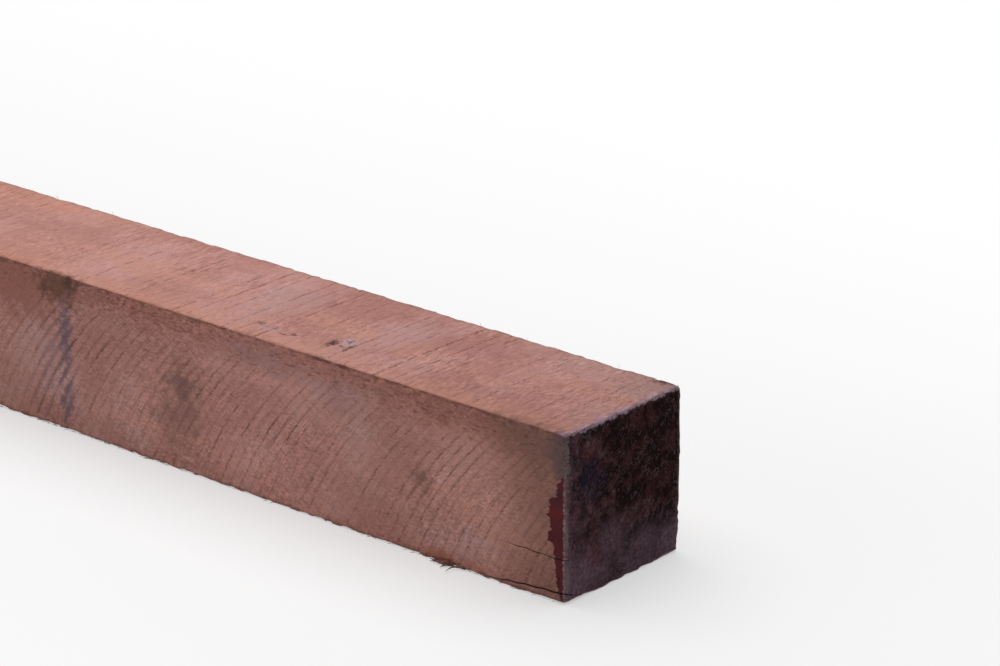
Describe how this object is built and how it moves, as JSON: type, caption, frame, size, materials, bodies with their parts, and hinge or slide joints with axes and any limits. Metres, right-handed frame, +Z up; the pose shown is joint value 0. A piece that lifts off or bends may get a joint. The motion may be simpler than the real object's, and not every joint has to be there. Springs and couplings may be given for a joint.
{
  "type": "hardwood post",
  "caption": "Rough-sawn square hardwood post, one straight piece of red-brown timber with dark wax-sealed cross-cut ends.",
  "frame": {"origin": "middle of the long face that the post lies on", "axes": "+X along the post's length towards the end shown nearest, +Y across its width away from the viewer, +Z up through its height"},
  "size_m": [1.5, 0.07, 0.07],
  "materials": {
    "sawn_hardwood": "rough-sawn red-brown hardwood, unplaned and unoiled, with cross-cut ends sealed in dark purple-brown wax"
  },
  "bodies": {
    "root": {"post": "sawn_hardwood"}
  },
  "joints": []
}
